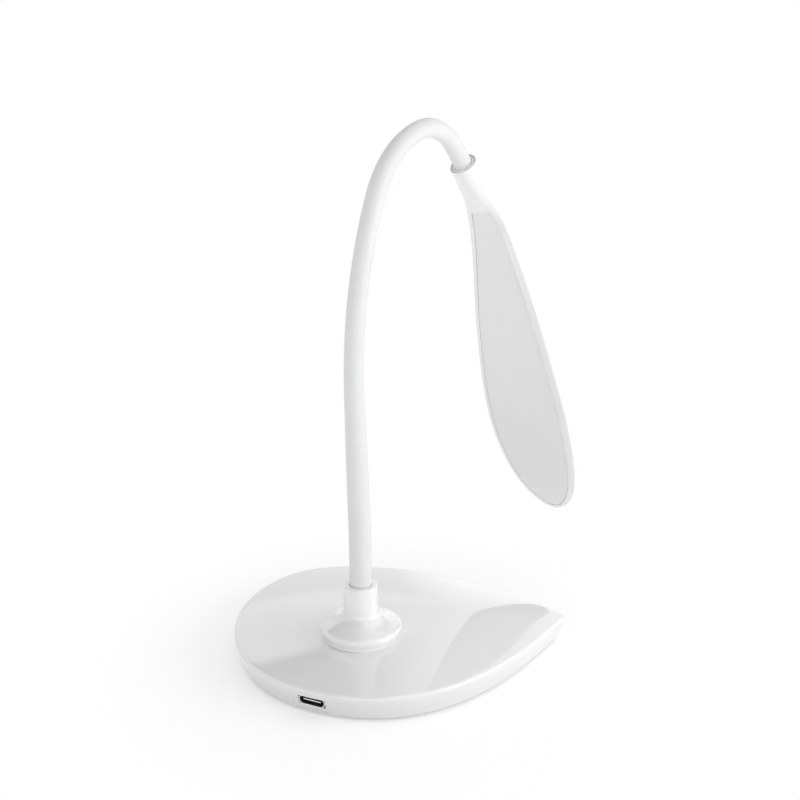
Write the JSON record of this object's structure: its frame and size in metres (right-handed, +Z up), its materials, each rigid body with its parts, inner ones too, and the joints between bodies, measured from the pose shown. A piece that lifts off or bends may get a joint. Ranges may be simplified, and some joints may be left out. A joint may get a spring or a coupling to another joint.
{
  "type": "desk lamp",
  "caption": "Cordless desk lamp: low leaf-shaped base with a USB-C charging socket, a slim flexible neck that arches over, and a leaf-shaped lamp head with a grey diffuser.",
  "frame": {"origin": "on the table, at the anti-slip pad's underside, straight below the axis of the neck's collar", "axes": "+Z up; +X along the leaf-shaped base to its pointed tip; +Y to the back, away from the charging socket. The neck bends in the upright plane at 45 degrees between +X and +Y."},
  "size_m": [0.1331, 0.1242, 0.176],
  "materials": {
    "shell_white": "glossy white moulded plastic",
    "case_white": "satin white moulded plastic",
    "pad_rubber": "matt light-grey anti-slip silicone",
    "sleeve_silicone": "smooth satin white silicone",
    "diffuser_grey": "matt light-grey opal plastic",
    "bright_steel": "bright nickel-plated steel",
    "plain_steel": "plain rolled steel plate",
    "spring_steel": "plated spring wire",
    "hose_steel": "flexible metal hose",
    "brass": "turned brass",
    "black_plastic": "black moulded plastic",
    "cell_foil": "soft aluminium pouch",
    "foam": "black foam tape",
    "board_green": "green solder mask on glass-fibre board",
    "board_white": "white solder mask on a thin board",
    "led_yellow": "yellow phosphor chips",
    "lead_jacket": "black lead jacket"
  },
  "bodies": {
    "base": {"anti_slip_pad": "pad_rubber", "base_bottom_case": "case_white", "base_top_cover": "shell_white", "battery_cell": "cell_foil", "board_chips": "black_plastic", "board_screws": "bright_steel", "case_screws": "bright_steel", "cell_tape": "foam", "counterweight_plate": "plain_steel", "main_board": "board_green", "neck_collar": "shell_white", "neck_core_0": "hose_steel", "neck_lead": "lead_jacket", "neck_lower_ferrule": "brass", "neck_nut": "brass", "neck_sleeve": "sleeve_silicone", "neck_washer": "bright_steel", "touch_spring": "spring_steel", "usb_c_shell": "bright_steel", "usb_c_tongue": "black_plastic"},
    "neck_1": {"neck_core_1": "hose_steel"},
    "neck_2": {"neck_core_2": "hose_steel"},
    "neck_3": {"neck_core_3": "hose_steel"},
    "neck_4": {"neck_core_4": "hose_steel"},
    "neck_5": {"neck_core_5": "hose_steel"},
    "neck_6": {"neck_core_6": "hose_steel"},
    "neck_7": {"neck_core_7": "hose_steel"},
    "head": {"neck_core_8": "hose_steel", "neck_upper_ferrule": "brass", "head_rear_shell": "shell_white", "diffuser": "diffuser_grey", "led_board": "board_white", "led_chips": "led_yellow"}
  },
  "joints": [
    {"name": "neck_sway_1", "type": "hinge", "parent": "base", "child": "neck_1", "pos_m": [-0.00008, -0.00008, 0.04446], "axis": [0.707, 0.707, 0.0201], "range_deg": [-8, 8], "deforming": ["neck_sleeve", "neck_lead"]},
    {"name": "neck_bend_2", "type": "hinge", "parent": "neck_1", "child": "neck_2", "pos_m": [-0.00064, -0.00064, 0.06612], "axis": [0.7071, -0.7071, 0], "range_deg": [-3, 20], "deforming": ["neck_sleeve", "neck_lead"]},
    {"name": "neck_sway_3", "type": "hinge", "parent": "neck_2", "child": "neck_3", "pos_m": [-0.00134, -0.00134, 0.08869], "axis": [0.7064, 0.7064, 0.0436], "range_deg": [-8, 8], "deforming": ["neck_sleeve", "neck_lead"]},
    {"name": "neck_bend_4", "type": "hinge", "parent": "neck_3", "child": "neck_4", "pos_m": [-0.00106, -0.00106, 0.11305], "axis": [0.7071, -0.7071, 0], "range_deg": [-1, 25], "deforming": ["neck_sleeve", "neck_lead"]},
    {"name": "neck_bend_5", "type": "hinge", "parent": "neck_4", "child": "neck_5", "pos_m": [0.00191, 0.00191, 0.13614], "axis": [0.7071, -0.7071, 0], "range_deg": [-1, 25], "deforming": ["neck_sleeve", "neck_lead"]},
    {"name": "neck_bend_6", "type": "hinge", "parent": "neck_5", "child": "neck_6", "pos_m": [0.00708, 0.00708, 0.15651], "axis": [0.7071, -0.7071, 0], "range_deg": [-1, 25], "deforming": ["neck_sleeve", "neck_lead"]},
    {"name": "neck_bend_7", "type": "hinge", "parent": "neck_6", "child": "neck_7", "pos_m": [0.01703, 0.01703, 0.17013], "axis": [0.7071, -0.7071, 0], "range_deg": [-1, 25], "deforming": ["neck_sleeve", "neck_lead"]},
    {"name": "neck_sway_8", "type": "hinge", "parent": "neck_7", "child": "head", "pos_m": [0.0293, 0.0293, 0.17134], "axis": [-0.2955, -0.2955, -0.9085], "range_deg": [-20, 20], "deforming": ["neck_sleeve", "neck_lead"]}
  ],
  "couplings": [
    {"joint": "neck_sway_3", "follows": "neck_sway_1", "ratio": 1},
    {"joint": "neck_bend_5", "follows": "neck_bend_4", "ratio": 1},
    {"joint": "neck_bend_6", "follows": "neck_bend_4", "ratio": 1},
    {"joint": "neck_bend_7", "follows": "neck_bend_4", "ratio": 1}
  ]
}
